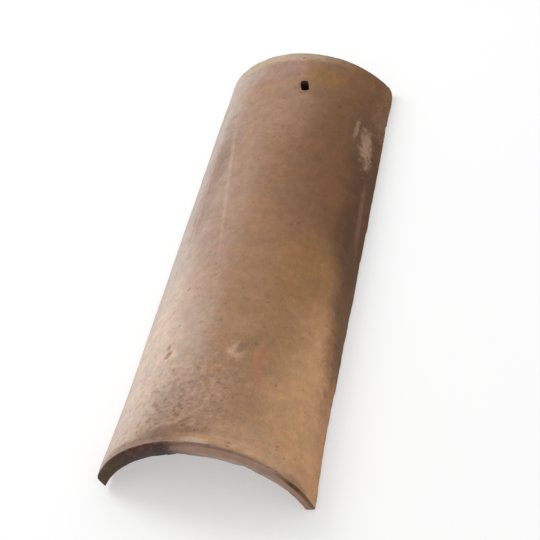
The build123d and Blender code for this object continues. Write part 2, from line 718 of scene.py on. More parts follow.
    def parted_for_hole(self, across: Socket, along: Socket, height: Socket) -> Tuple[Socket, Socket]:
        """Part the grid lines into circles round the nail hole, with a worn lip at each mouth.

        Args:
            across, along: The place on the laid-out wall.
            height: The height on the block.

        Returns:
            The new place across and along.
        """
        b, size = self.bench, self.given_size
        ring = self.ring()
        step = b.joined(*self.from_hole())
        beyond = b.calc("MAXIMUM", b.minus(ring, size("Hole Cells")), 0.0)
        spread = b.times(b.calc("POWER", beyond, self.RING_GROWTH), size("Hole Spread"))
        mouth = b.calc("POWER", b.times(b.calc("ABSOLUTE", height), 2.0), self.LIP_SHARPNESS)
        bore = b.calc("MULTIPLY_ADD", mouth, size("Hole Lip"), size("Hole Radius"))
        squared = b.scaled(step, b.calc("DIVIDE", 1.0, b.calc("MAXIMUM", ring, 1.0)))
        direction = b.between_places(size("Hole Square"), b.vector("NORMALIZE", step), squared)
        stretched = b.vector("MULTIPLY", b.scaled(direction, bore), size("Hole Stretch"))
        spoke = b.vector("ADD", b.turned(stretched, size("Hole Turn")), b.scaled(direction, spread))
        circle = b.vector("ADD", b.joined(size("Hole Across"), size("Hole Along")), spoke)
        free = b.remap(ring, b.plus(size("Hole Cells"), 1.0), size("Hole Reach"))
        x, y, _ = b.parts(b.between_places(free, circle, b.joined(across, along)))
        return x, y

    def worn_place(self, flat: Socket) -> Tuple[Socket, Socket]:
        """Round the four corners of the laid-out wall, and then wear every arris.

        Args:
            flat: The place on the laid-out wall.

        Returns:
            The worn place, and the distance to the nearest arris.
        """
        b, size = self.bench, self.given_size
        across, along, through = b.parts(flat)
        half_length = b.times(size("Length"), 0.5)
        half_wall = b.times(self.wall_at(across, along)[2], 0.5)
        unevenness = b.waved(flat, self.UNEVENNESS, size("Seed"))
        end_corner = b.remap(along, 0.0, half_length, size("Wide Corner"), size("Narrow Corner"))
        end_corner = b.times(end_corner, b.ramped(unevenness, self.CORNER_SPREAD))
        reach = self.foot_reach(b.calc("DIVIDE", along, half_length))
        core = b.vector("SUBTRACT", b.joined(reach, half_length), b.joined(end_corner, end_corner))
        laid = b.joined(across, along)
        held = b.vector("MAXIMUM", b.vector("MINIMUM", laid, core), b.scaled(core, -1.0))
        stick_out = b.vector("SUBTRACT", laid, held)
        outwards = b.vector("NORMALIZE", stick_out)
        out = b.calc("MINIMUM", b.length(stick_out), end_corner)
        inland = b.minus(end_corner, out)
        deep = b.minus(half_wall, b.calc("ABSOLUTE", through))
        to_side = b.calc("ABSOLUTE", b.parts(outwards)[0])
        foot = b.times(b.ramped(through, self.OUTER_SIDE), b.times(to_side, to_side))
        arris = b.between(foot, size("End Arris"), size("Foot Corner"))
        arris = b.times(arris, b.ramped(unevenness, self.ARRIS_SPREAD))
        past = b.calc("MAXIMUM", b.minus(arris, inland), 0.0)
        below = b.calc("MAXIMUM", b.minus(arris, deep), 0.0)
        reached = b.calc("MAXIMUM", b.length(b.joined(past, below)), self.SHORTEST)
        lost = b.minus(1.0, b.calc("MINIMUM", b.calc("DIVIDE", arris, reached), 1.0))
        out = b.minus(out, b.times(past, lost))
        place = b.vector("ADD", held, b.scaled(outwards, out))
        sunk = b.times(b.times(below, lost), b.calc("SIGN", through))
        worn = b.vector("ADD", place, b.joined(z=b.minus(through, sunk)))
        spare_across, spare_along, _ = b.parts(b.vector("SUBTRACT", core, b.vector("ABSOLUTE", laid)))
        room = b.calc("MAXIMUM", b.calc("MINIMUM", spare_across, spare_along), 0.0)
        return self.skewed(worn, half_length), b.calc("MAXIMUM", b.plus(inland, room), deep)

    def skewed(self, flat: Socket, half_length: Socket) -> Socket:
        """Push the left foot on at the narrow end, because the cut there isn't quite square.

        Args:
            flat: The place on the laid-out wall.
            half_length: Half the tile's length.

        Returns:
            The pushed place.
        """
        b, size = self.bench, self.given_size
        across, along, _ = b.parts(flat)
        near_end = b.remap(along, 0.0, half_length)
        leftwards = b.remap(across, 0.0, b.times(size("Middle Radius"), -1.0))
        push = b.times(size("Skew"), b.times(near_end, leftwards))
        return b.vector("ADD", flat, b.joined(y=push))

    def folded(self, flat: Socket) -> Socket:
        """Fold the laid-out wall into the barrel and stand it on the ground.

        Args:
            flat: The place on the laid-out wall.

        Returns:
            The place in the frame.
        """
        b, size = self.bench, self.given_size
        across, along, through = b.parts(flat)
        angle, middle, _ = self.wall_at(across, along)
        reach = b.plus(middle, through)
        aside, up = b.times(reach, b.calc("SINE", angle)), b.times(reach, b.calc("COSINE", angle))
        tipped = b.turned(b.joined(aside, along, up), b.times(size("Slope"), -1.0), "X")
        return self.boxed(b.vector("ADD", tipped, size("Standing Shift")))

    def boxed(self, place: Socket) -> Socket:
        """Wear away whatever would reach below the ground or out of the solid's box."""
        b, size = self.bench, self.given_size
        return b.vector("MINIMUM", b.vector("MAXIMUM", place, size("Box Low")), size("Box High"))

    def weathered(self, wall: Socket, relief: bpy.types.NodeTree) -> Socket:
        """Sink the relief into the wall, but keep its seat flat on the ground.

        Args:
            wall: The wall's mesh.
            relief: The group that says how deep the surface is worn at each place.

        Returns:
            The worn mesh.
        """
        b = self.bench
        place = self.place_now()
        normal = b.node("GeometryNodeInputNormal").outputs[0]
        feeds = {"Flat": self.kept("flat"), "Arris": self.kept("arris", "FLOAT"),
                 "Block": self.kept("block"), "Seed": self.given_size("Seed")}
        worn = b.node("GeometryNodeGroup", feeds, node_tree=relief)
        depth = b.times(worn.outputs["Depth"], b.ramped(b.parts(place)[2], self.OFF_SEAT))
        sunk = b.vector("SUBTRACT", place, b.scaled(normal, depth))
        wall = self.stored(wall, "pitted", worn.outputs["Pitted"], "FLOAT")
        return self.moved(wall, self.boxed(sunk))

    def dressed(self, wall: Socket, finishes: Finishes) -> Socket:
        """Give each face of the wall its finish, told apart by its place on the block.

        Args:
            wall: The wall's mesh.
            finishes: The material of each face.

        Returns:
            The mesh with its materials.
        """
        b = self.bench
        height = b.parts(self.kept("block"))[2]
        choices = {
            Face.CUT: True,
            Face.BACK: b.calc("GREATER_THAN", height, FACE_HEIGHT),
            Face.HOLLOW: b.calc("LESS_THAN", height, -FACE_HEIGHT),
        }
        for face, where in choices.items():
            feeds = {"Geometry": wall, "Selection": where, "Material": finishes[face]}
            wall = b.node("GeometryNodeSetMaterial", feeds).outputs[0]
        return wall


@dataclass
class Relief:
    """How the surface of the fired wall rises and falls."""

    sway: Waves = Waves(14.0, detail=1.0)
    sway_depth: float = 0.9 * MM
    drag: Waves = Waves(160.0, pick=3.0, detail=3.0)
    drag_depth: float = 0.22 * MM
    drag_stretch: float = 0.07
    grain: Waves = Waves(260.0, pick=5.0, detail=3.0)
    grain_depth: float = 0.12 * MM
    hollow_drag: float = 2.2
    chip_reach: float = 4.5 * MM
    chip_depth: float = 1.6 * MM
    chip_lumps: Waves = Waves(95.0, pick=11.0)
    chip_places: Waves = Waves(24.0, pick=12.0, detail=1.0)
    pit_depth: float = 0.55 * MM
    pits_per_metre: float = 330.0
    pit_crowding: float = 0.6
    stray_pits: float = 0.05
    thin_pits: Waves = Waves(18.0, pick=8.0)
    lift: float = 0.5 * MM
    trim_width: float = 6 * MM
    trim_depth: float = 0.5 * MM
    trim_wander: float = 6 * MM
    trim_slope: float = 1.2 * MM
    trim_waves: Waves = Waves(30.0, pick=16.0)
    mark_waves: Waves = Waves(150.0, pick=14.0, detail=3.0)
    marks: Tuple[Mark, ...] = (
        Mark("scuffed patch", (-24, -192), (23, 32), 0.65, pits=1.0),
        Mark("pock", (-41, -134), (3, 5), 0.9, lean=0.5),
        Mark("small pock", (-43, -126), (2.2, 3.4), 0.6),
        Mark("bruise", (15, -128), (4, 6), 0.8, lean=0.3, pits=0.5),
        Mark("bruise's rim", (11, -135), (6, 4), -0.3, lean=0.4),
        Mark("lime crust", (68, 137), (6, 20), -0.35, lean=-0.15, pits=0.6),
        Mark("flaked clay", (78, 170), (7, 26), 0.5, pits=0.9),
        Mark("drawn groove", (-39, 70), (2.4, 82), 0.35, lean=-0.155),
        Mark("dent in the lip", (22, -224), (7, 4), 0.5, pits=0.4),
    )

    ON_BACK: ClassVar[Ramp] = Ramp(0.3, 0.5)
    LUMPY: ClassVar[Ramp] = Ramp(0.52, 0.68)
    PLACED: ClassVar[Ramp] = Ramp(0.48, 0.62)
    THINLY: ClassVar[Ramp] = Ramp(0.45, 0.75, 0.0, 0.25)
    PIT: ClassVar[Ramp] = Ramp(0.55, 0.15)

    def tree(self, half_length: float) -> bpy.types.NodeTree:
        """Write the group that gives the depth worn away at each place.

        Args:
            half_length: Half the tile's length.

        Returns:
            The group, with Depth and Pitted as its outputs.
        """
        inputs = {"Flat": "Vector", "Arris": "Float", "Block": "Vector", "Seed": "Float"}
        outputs = {"Depth": "Float", "Pitted": "Float"}
        b, given, result = new_group("fired relief", "GeometryNodeTree", inputs, outputs)
        flat, arris, block, seed = (given.outputs[name] for name in inputs)
        height = b.parts(block)[2]
        sway = b.times(b.waved(flat, self.sway, seed), self.sway_depth)
        stretched = b.vector("MULTIPLY", flat, (1.0, self.drag_stretch, 1.0))
        under = b.calc("LESS_THAN", height, -FACE_HEIGHT)
        drag_depth = b.between(under, self.drag_depth, self.drag_depth * self.hollow_drag)
        drag = b.times(b.waved(stretched, self.drag, seed), drag_depth)
        grain = b.times(b.waved(flat, self.grain, seed), self.grain_depth)
        pitted = self.pitted(b, flat, seed)
        pits = b.times(pitted, self.pit_depth)
        depth = b.minus(b.plus(b.plus(sway, drag), b.plus(grain, pits)), self.lift)
        on_face = b.plus(self.dented(b, flat, seed), self.trimmed(b, flat, seed, half_length))
        depth = b.calc("MULTIPLY_ADD", on_face, b.ramped(height, self.ON_BACK), depth)
        depth = b.plus(depth, self.chipped(b, flat, arris, seed))
        b.feed(result.inputs["Depth"], depth)
        b.feed(result.inputs["Pitted"], pitted)
        return b.tree

    def pitted(self, b: Bench, flat: Socket, seed: Socket) -> Socket:
        """Scatter pits thinly everywhere, and thickly in each mark that has them.

        Args:
            b: The bench of the relief's tree.
            flat: The place on the laid-out wall.
            seed: Picks one scatter out of many.

        Returns:
            One in the middle of a pit, falling to none outside it.
        """
        crowd = b.ramped(b.waved(flat, self.thin_pits, seed), self.THINLY)
        for mark in self.marks:
            if mark.pits > 0.0:
                crowd = b.calc("MAXIMUM", crowd, b.times(mark.inside(b, flat), mark.pits))
        distance, tone = b.cells(flat, self.pits_per_metre, seed)
        share = b.calc("MULTIPLY_ADD", crowd, self.pit_crowding, self.stray_pits)
        return b.times(b.ramped(distance, self.PIT), b.calc("LESS_THAN", tone, share))

    def dented(self, b: Bench, flat: Socket, seed: Socket) -> Socket:
        """Sink every mark into the back, unevenly.

        Args:
            b: The bench of the relief's tree.
            flat: The place on the laid-out wall.
            seed: Picks one unevenness out of many.

        Returns:
            The depth that the marks add.
        """
        total: Feed = 0.0
        for mark in self.marks:
            total = b.calc("MULTIPLY_ADD", mark.inside(b, flat), mark.depth_mm * MM, total)
        return b.times(total, b.ramped(b.waved(flat, self.mark_waves, seed), UNEVENLY))

    def trimmed(self, b: Bench, flat: Socket, seed: Socket, half_length: float) -> Socket:
        """Press down the strip along the wide end where the wet clay was trimmed.

        Args:
            b: The bench of the relief's tree.
            flat: The place on the laid-out wall.
            seed: Picks how the strip's edge wanders.
            half_length: Half the tile's length.

        Returns:
            The depth that the trimming adds.
        """
        from_end = b.plus(b.parts(flat)[1], half_length)
        wander = b.minus(b.waved(flat, self.trim_waves, seed), 0.5)
        edge = b.calc("MULTIPLY_ADD", wander, self.trim_wander, self.trim_width)
        return b.remap(from_end, b.plus(edge, self.trim_slope), edge, 0.0, self.trim_depth)

    def chipped(self, b: Bench, flat: Socket, arris: Socket, seed: Socket) -> Socket:
        """Knock small chips out of the arrises.

        Args:
            b: The bench of the relief's tree.
            flat: The place on the laid-out wall.
            arris: The distance to the nearest arris.
            seed: Picks where the chips are.

        Returns:
            The depth that the chips add.
        """
        near = b.remap(arris, self.chip_reach, 0.0)
        lumps = b.ramped(b.waved(flat, self.chip_lumps, seed), self.LUMPY)
        places = b.ramped(b.waved(flat, self.chip_places, seed), self.PLACED)
        return b.times(b.times(near, b.times(lumps, places)), self.chip_depth)


@dataclass(frozen=True)
class StainOrPaintedLight:
    """A patch of another colour on the clay. Most are the clay's own marks and tints; those noted beside
    them are painted shade and painted highlights.

    Its place is the arc from the crown line, to the right, the distance along from mid-length,
    and the distance through the wall, outwards from its middle.
    """

    name: str
    place_mm: Tuple[float, float]
    half_size_mm: Tuple[float, float]
    rgb: Tuple[int, int, int]
    strength: float = 0.7
    lean: float = 0.0
    ragged: float = 0.3
    flecked: float = 0.1
    softness: float = 0.5
    through_mm: float = 0.0
    half_depth_mm: float = 1000.0

    def feeds(self) -> Dict[str, Feed]:
        """Gather what the patch feeds to its shading group.

        Returns:
            The value of each of the group's inputs that the stain sets.
        """
        return {"Centre": in_metres((*self.place_mm, self.through_mm)),
                "Half Size": in_metres((*self.half_size_mm, self.half_depth_mm)), "Lean": self.lean,
                "Ragged": self.ragged, "Flecked": self.flecked, "Softness": self.softness}


class ShadeGroups:
    """The shading effects that more than one finish uses, each built once."""

    BROAD_SCALE = 0.16
    BROAD_PICK = 2.0
    SPECK_SCALE = 0.9
    SPECK = Ramp(0.5, 0.2)
    SPECK_SHARE = 0.1
    SPECK_DEPTH = 0.6
    STREAK_START = 0.62
    STREAK_SPAN = 0.3
    STREAK_EDGE = 0.2
    RAGGEDNESS = 2.0
    WEAR = Waves(120.0, detail=4.0, rough=0.6)

    def __init__(self) -> None:
        """Build every group."""
        self.grain = self.build_grain()
        self.streaks = self.build_streaks()
        self.stain_or_painted_light = self.build_stain_or_painted_light()
        self.wear = self.build_wear()

    def build_grain(self) -> bpy.types.NodeTree:
        """Build the fine sandy grain of fired clay, with sparse specks.

        Returns:
            The group, with Tone, Speck and Height as its outputs.
        """
        inputs = {"Place": "Vector", "Scale": "Float", "Seed": "Float"}
        outputs = {"Tone": "Float", "Speck": "Float", "Height": "Float"}
        b, given, result = new_group("clay grain", "ShaderNodeTree", inputs, outputs)
        place, scale, seed = (given.outputs[name] for name in inputs)
        fine = b.noise(place, scale, seed, detail=4.0, rough=0.65).outputs[0]
        broad_scale, broad_seed = b.times(scale, self.BROAD_SCALE), b.plus(seed, self.BROAD_PICK)
        broad = b.noise(place, broad_scale, broad_seed, detail=3.0, rough=0.6).outputs[0]
        distance, tone = b.cells(place, b.times(scale, self.SPECK_SCALE), seed)
        speck = b.times(b.ramped(distance, self.SPECK), b.calc("LESS_THAN", tone, self.SPECK_SHARE))
        b.feed(result.inputs["Tone"], b.minus(b.plus(fine, broad), 0.5))
        b.feed(result.inputs["Speck"], speck)
        b.feed(result.inputs["Height"], b.minus(fine, b.times(speck, self.SPECK_DEPTH)))
        return b.tree

    def build_streaks(self) -> bpy.types.NodeTree:
        """Build the long marks that run from end to end, as wet clay is drawn off its mould.

        Returns:
            The group, with Mask as its output.
        """
        inputs = {"Flat": "Vector", "Per Metre": "Float", "Stretch": "Float", "Share": "Float",
                  "Seed": "Float"}
        b, given, result = new_group("drawn streaks", "ShaderNodeTree", inputs, {"Mask": "Float"})
        flat, per_metre, stretch, share, seed = (given.outputs[name] for name in inputs)
        place = b.vector("MULTIPLY", flat, b.joined(1.0, stretch, 1.0))
        lines = b.noise(place, per_metre, seed, detail=3.0, rough=0.6).outputs[0]
        start = b.minus(self.STREAK_START, b.times(share, self.STREAK_SPAN))
        b.feed(result.inputs["Mask"], b.remap(lines, start, b.plus(start, self.STREAK_EDGE)))
        return b.tree

    def build_stain_or_painted_light(self) -> bpy.types.NodeTree:
        """Build one patch with a soft edge, which is ragged, broken up into flecks, or both.

        Returns:
            The group, with Mask as its output.
        """
        inputs = {"Flat": "Vector", "Centre": "Vector", "Half Size": "Vector", "Lean": "Float",
                  "Edge": "Float", "Ragged": "Float", "Fleck": "Float", "Flecked": "Float",
                  "Softness": "Float"}
        b, given, result = new_group("stain patch", "ShaderNodeTree", inputs, {"Mask": "Float"})
        flat, centre, half_size, lean, edge, ragged, fleck, flecked, softness = (
            given.outputs[name] for name in inputs)
        distance = b.oval(flat, centre, half_size, lean)
        for wander, strength in ((edge, ragged), (fleck, flecked)):
            distance = b.calc("MULTIPLY_ADD", wander, b.times(strength, self.RAGGEDNESS), distance)
        inner, outer = b.minus(1.0, softness), b.plus(1.0, softness)
        b.feed(result.inputs["Mask"], b.remap(distance, outer, inner))
        return b.tree

    def build_wear(self) -> bpy.types.NodeTree:
        """Build a rubbed band along each arris, uneven in width.

        Returns:
            The group, with Mask as its output.
        """
        inputs = {"Arris": "Float", "Place": "Vector", "Width": "Float", "Seed": "Float"}
        b, given, result = new_group("arris wear", "ShaderNodeTree", inputs, {"Mask": "Float"})
        arris, place, width, seed = (given.outputs[name] for name in inputs)
        reach = b.times(width, b.ramped(b.waved(place, self.WEAR, seed), UNEVENLY))
        b.feed(result.inputs["Mask"], b.remap(arris, reach, 0.0))
        return b.tree


@dataclass(frozen=True)
class Finish:
    """A finish of the tile's clay: its colours, and how rough it is."""

    name: str
    body: Colour
    pale: Colour
    dark: Colour
    worn: Colour
    roughness: float = 0.86
    grain_scale: float = 900.0
    streak_stretch: float = 0.05
    streaks_per_metre: float = 170.0
    streak_share: float = 0.5
    streak_strength: float = 0.22
    streak_height: float = 0.4
    mottle: Waves = Waves(55.0, pick=10.0, detail=3.0, rough=0.6)
    flecks: Waves = Waves(210.0, pick=11.0, detail=5.0, rough=0.6)
    wear_width: float = 2.4 * MM
    wear_strength: float = 0.4
    speck_strength: float = 0.35
    pit_strength: float = 0.5
    contrast: float = 0.14
    bump: float = 0.35
    bump_distance: float = 0.0006
    specular: float = 0.3
    seed: float = 1.0
    stains_and_painted_light: Tuple[StainOrPaintedLight, ...] = ()

    STREAK_PICK: ClassVar[float] = 1.0
    WEAR_PICK: ClassVar[float] = 2.0
    ROUGH_SPREAD: ClassVar[float] = 0.08
    TONES: ClassVar[Tuple[float, float]] = (0.15, 0.85)
    ROUGH_TONES: ClassVar[Tuple[float, float]] = (0.2, 0.8)
    MOTTLE: ClassVar[Ramp] = Ramp(-0.22, 0.22)
    MOTTLE_COOL: ClassVar[Colour] = (0.91, 0.93, 0.95, 1.0)
    MOTTLE_WARM: ClassVar[Colour] = (1.09, 1.06, 1.03, 1.0)

    def material(self, groups: ShadeGroups) -> bpy.types.Material:
        """Build the finish's material.

        Args:
            groups: The shared shading effects.

        Returns:
            The material.
        """
        made = bpy.data.materials.new(self.name)
        made.use_nodes = True
        made.node_tree.nodes.clear()
        b = Bench(made.node_tree)
        flat = b.node("ShaderNodeAttribute", attribute_name="flat").outputs["Vector"]
        arris = b.node("ShaderNodeAttribute", attribute_name="arris").outputs["Fac"]
        pitted = b.node("ShaderNodeAttribute", attribute_name="pitted").outputs["Fac"]
        place = b.node("ShaderNodeTexCoord").outputs["Object"]
        feeds = {"Place": place, "Scale": self.grain_scale, "Seed": self.seed}
        grain = b.node("ShaderNodeGroup", feeds, node_tree=groups.grain)
        feeds = {"Flat": flat, "Per Metre": self.streaks_per_metre, "Stretch": self.streak_stretch,
                 "Share": self.streak_share, "Seed": self.seed + self.STREAK_PICK}
        streak = b.node("ShaderNodeGroup", feeds, node_tree=groups.streaks).outputs[0]
        feeds = {"Arris": arris, "Place": place, "Width": self.wear_width,
                 "Seed": self.seed + self.WEAR_PICK}
        wear = b.node("ShaderNodeGroup", feeds, node_tree=groups.wear).outputs[0]
        colour = b.tinted(b.times(streak, self.streak_strength), self.with_stains_and_painted_light(b, groups, flat), self.pale)
        colour = b.tinted(b.times(wear, self.wear_strength), colour, self.worn)
        tone = grain.outputs["Tone"]
        colour = b.scaled(colour, b.remap(tone, *self.TONES, 1.0 - self.contrast, 1.0 + self.contrast))
        colour = b.tinted(b.times(grain.outputs["Speck"], self.speck_strength), colour, self.dark)
        colour = b.tinted(b.times(pitted, self.pit_strength), colour, self.dark)
        height = b.plus(grain.outputs["Height"], b.times(streak, self.streak_height))
        feeds = {"Strength": self.bump, "Distance": self.bump_distance, "Height": height}
        normal = b.node("ShaderNodeBump", feeds).outputs[0]
        smooth, coarse = self.roughness - self.ROUGH_SPREAD, self.roughness + self.ROUGH_SPREAD
        rough = b.remap(tone, *self.ROUGH_TONES, smooth, coarse)
        feeds = {"Base Color": colour, "Roughness": rough, "Normal": normal,
                 "Specular IOR Level": self.specular}
        shader = b.node("ShaderNodeBsdfPrincipled", feeds)
        b.node("ShaderNodeOutputMaterial", {"Surface": shader.outputs[0]})
        return made

    def with_stains_and_painted_light(self, b: Bench, groups: ShadeGroups, flat: Socket) -> Socket:
        """Lay the finish's patches over its body colour, one over the other: its own marks, and painted
        shade and painted highlights.

        Args:
            b: The bench of the finish's tree.
            groups: The shared shading effects.
            flat: The place on the laid-out wall.

        Returns:
            The stained colour.
        """
        edges = b.wavered(flat, self.mottle, self.seed)
        flecks = b.wavered(flat, self.flecks, self.seed)
        colour: Feed = self.body
        for number, stain_or_painted_light in enumerate(self.stains_and_painted_light):
            channel = number % len(edges)
            feeds = {"Flat": flat, "Edge": edges[channel], "Fleck": flecks[channel], **stain_or_painted_light.feeds()}
            mask = b.node("ShaderNodeGroup", feeds, node_tree=groups.stain_or_painted_light, label=stain_or_painted_light.name)
            colour = b.tinted(b.times(mask.outputs[0], stain_or_painted_light.strength), colour, shade(*stain_or_painted_light.rgb))
        mottle = b.tinted(b.ramped(edges[1], self.MOTTLE), self.MOTTLE_COOL, self.MOTTLE_WARM)
        return b.tinted(1.0, colour, mottle, "MULTIPLY")


BACK = Finish(
    name="weathered back",
    body=shade(155, 120, 92),
    pale=shade(188, 160, 138),
    dark=shade(92, 64, 46),
    worn=shade(182, 154, 128),
    streak_strength=0.03,
    stains_and_painted_light=(
        # Partly pale dust, partly painted light: the brightness of the left flank, which faces the lamp.
        StainOrPaintedLight("dusty left flank with painted light", (-84, 0), (38, 420), (187, 175, 167), 0.85, ragged=0.25, softness=0.55),
        StainOrPaintedLight("pale lower left with painted light", (-60, -125), (40, 95), (208, 187, 171), 0.72,
              ragged=0.4, flecked=0.3, softness=0.6),
        StainOrPaintedLight("brown upper left flank", (-58, 75), (10, 74), (142, 112, 96), 0.6,
              ragged=0.45, flecked=0.8, softness=0.6),
        StainOrPaintedLight("brown patch on the left", (-48, 106), (13, 24), (122, 94, 80), 0.4,
              ragged=0.5, flecked=0.5, softness=0.7),
        StainOrPaintedLight("mauve left of the crown", (-30, 10), (18, 120), (168, 142, 128), 0.55,
              flecked=0.3, softness=0.7),
        # Partly dark fired clay, partly painted shade on the side turned away from the lamp.
        StainOrPaintedLight("dark upper right with painted shade", (58, 120), (52, 150), (122, 84, 55), 0.95, ragged=0.2, softness=0.75),
        StainOrPaintedLight("tan lower right", (86, -165), (42, 120), (208, 160, 116), 0.9, ragged=0.25, softness=0.6),
        StainOrPaintedLight("tan at mid-length", (66, -56), (8, 22), (196, 140, 98), 0.4),
        StainOrPaintedLight("brown beside the burnt band with painted shade", (66, 30), (9, 34), (84, 58, 40), 0.4),
        # Partly burnt and dirty clay, partly painted shade along the right flank, which is turned away from
        # the lamp.
        StainOrPaintedLight("burnt band with painted shade", (88, 3), (20, 178), (92, 64, 45), 0.8,
              lean=-0.1, ragged=0.4, flecked=0.3, softness=0.45),
        StainOrPaintedLight("mauve streak in the burnt band with painted shade", (79, 60), (2.5, 34), (138, 104, 92), 0.45,
              lean=-0.1, ragged=0.4, flecked=0.8),
        StainOrPaintedLight("orange streak in the burnt band with painted shade", (82, -84), (2.5, 24), (168, 112, 72), 0.5,
              lean=-0.1, ragged=0.4, flecked=0.8),
        StainOrPaintedLight("mauve upper left", (-20, 165), (34, 55), (160, 130, 114), 0.4),
        StainOrPaintedLight("pink by the nailed end", (-18, 208), (18, 12), (162, 130, 122), 0.5),
        StainOrPaintedLight("grey by the nailed end", (-48, 206), (15, 13), (180, 166, 158), 0.35),
        StainOrPaintedLight("ochre by the nailed end", (18, 199), (14, 12), (146, 108, 60), 0.6),
        StainOrPaintedLight("ochre at mid-length", (46, -30), (26, 36), (160, 116, 68), 0.6),
        StainOrPaintedLight("ochre towards the wide end", (30, -100), (24, 44), (156, 116, 76), 0.5),
        StainOrPaintedLight("smudge below the nail hole", (4, 166), (6, 6), (164, 130, 100), 0.25),
        StainOrPaintedLight("shade round the nail hole", (5, 181), (10, 10), (108, 78, 56), 0.28),
        StainOrPaintedLight("dull flaking", (62, 142), (14, 34), (100, 78, 62), 0.5, lean=-0.2, ragged=0.5, flecked=1.2),
        StainOrPaintedLight("lime bloom", (68, 137), (6, 19), (190, 154, 124), 0.65,
              lean=-0.15, flecked=1.5, softness=0.6),
        StainOrPaintedLight("lime beside the bloom", (55, 151), (2, 11), (184, 152, 128), 0.5,
              ragged=0.2, flecked=1.2, softness=0.6),
        StainOrPaintedLight("flecks by the corner", (77, 180), (8, 18), (170, 140, 118), 0.18, ragged=0.2, flecked=2.4),
        # Painted highlight: a pale line where light catches the edge of the drawn groove.
        StainOrPaintedLight("light streak", (-39, 70), (1.8, 80), (198, 170, 154), 0.3,
              lean=-0.155, flecked=0.8, softness=0.6),
        StainOrPaintedLight("second light streak", (-62, 40), (1.6, 100), (196, 176, 162), 0.25,
              lean=-0.06, ragged=0.5, flecked=0.8, softness=0.6),
        StainOrPaintedLight("rubbed spot", (12, -131), (6, 8), (204, 168, 140), 0.55,
              ragged=0.6, flecked=1.0, softness=0.45),
        StainOrPaintedLight("heart of the rubbed spot", (15, -128), (3.4, 6), (140, 106, 82), 0.85,
              lean=0.3, ragged=0.2, flecked=0.3, softness=0.4),
        StainOrPaintedLight("light above the rubbed spot", (12, -104), (8, 8), (190, 160, 138), 0.2,
              ragged=0.6, flecked=0.6, softness=0.9),
        StainOrPaintedLight("light below the rubbed spot", (-6, -182), (22, 18), (194, 164, 144), 0.16,
              ragged=0.5, flecked=0.4, softness=0.8),
        # Painted shade in the two pocks, and a painted highlight on the rim to their right.
        StainOrPaintedLight("pock", (-41, -134), (2.4, 4), (120, 94, 78), 0.7, lean=0.5, ragged=0.5),
        StainOrPaintedLight("small pock", (-43, -126), (1.6, 3), (136, 110, 92), 0.6, ragged=0.5),
        StainOrPaintedLight("painted highlight beside the pock", (-36, -136), (3, 5), (216, 186, 160), 0.5),
        StainOrPaintedLight("red streak", (31, -141), (3.5, 20), (176, 112, 84), 0.5, lean=-0.11),
        StainOrPaintedLight("scuffed clay", (-21, -194), (15, 26), (120, 92, 76), 0.42,
              ragged=0.5, flecked=1.3, softness=0.6),
        # Painted shade and painted highlights in fine flecks, which stand in for the light and shade on the
        # lumps of the scuffed patch.
        StainOrPaintedLight("painted shade of the scuffed lumps", (-20, -189), (16, 24), (92, 68, 58), 0.3, flecked=6.0, softness=1.2),
        StainOrPaintedLight("painted highlights of the scuffed lumps", (-25, -186), (18, 27), (206, 176, 158), 0.28,
              flecked=6.0, softness=1.2),
        StainOrPaintedLight("worn clay above the lip", (38, -212), (30, 14), (194, 154, 122), 0.5, flecked=0.6),
        # Painted shade: a dark band on the back just inside the wide end's arris.
        StainOrPaintedLight("painted shade by the arris", (-17, -219), (24, 7), (104, 78, 62), 0.6, ragged=0.5, flecked=0.5),
        StainOrPaintedLight("dull lip of the left flank", (-52, -225), (28, 5), (128, 106, 94), 0.7),
        StainOrPaintedLight("grey lip at the crown", (2, -226), (10, 3.5), (190, 176, 166), 0.5),
        # Partly a worn arris, partly a painted highlight along the rounded lip.
        StainOrPaintedLight("worn lip", (44, -222), (52, 4.5), (202, 162, 128), 0.6, flecked=0.4),
        StainOrPaintedLight("dull lip on the right", (78, -226), (12, 3.5), (132, 96, 72), 0.5),
        StainOrPaintedLight("orange edge", (96, -170), (6, 56), (200, 148, 110), 0.55),
        StainOrPaintedLight("orange corner", (88, -215), (10, 9), (196, 144, 108), 0.55),
        StainOrPaintedLight("pale nailed edge", (-40, 224), (58, 7), (190, 172, 150), 0.65),
    ),
)
HOLLOW = Finish(
    name="moulded hollow",
    body=shade(148, 112, 88),
    pale=shade(178, 148, 124),
    dark=shade(84, 58, 44),
    worn=shade(170, 140, 114),
    streaks_per_metre=110.0,
    streak_strength=0.35,
    seed=31.0,
    stains_and_painted_light=(
        StainOrPaintedLight("grey along the crown", (0, 20), (40, 260), (120, 100, 86), 0.5, softness=0.7),
        StainOrPaintedLight("lime by the left foot", (-80, -60), (16, 110), (188, 168, 150), 0.6,
              ragged=0.6, flecked=0.4),
        StainOrPaintedLight("lime by the right foot", (88, 60), (12, 80), (182, 160, 140), 0.5, ragged=0.6, flecked=0.4),
        StainOrPaintedLight("dark nailed end", (0, 225), (90, 26), (96, 70, 54), 0.6),
        StainOrPaintedLight("tan wide end", (10, -215), (90, 28), (184, 142, 108), 0.6),
    ),
)
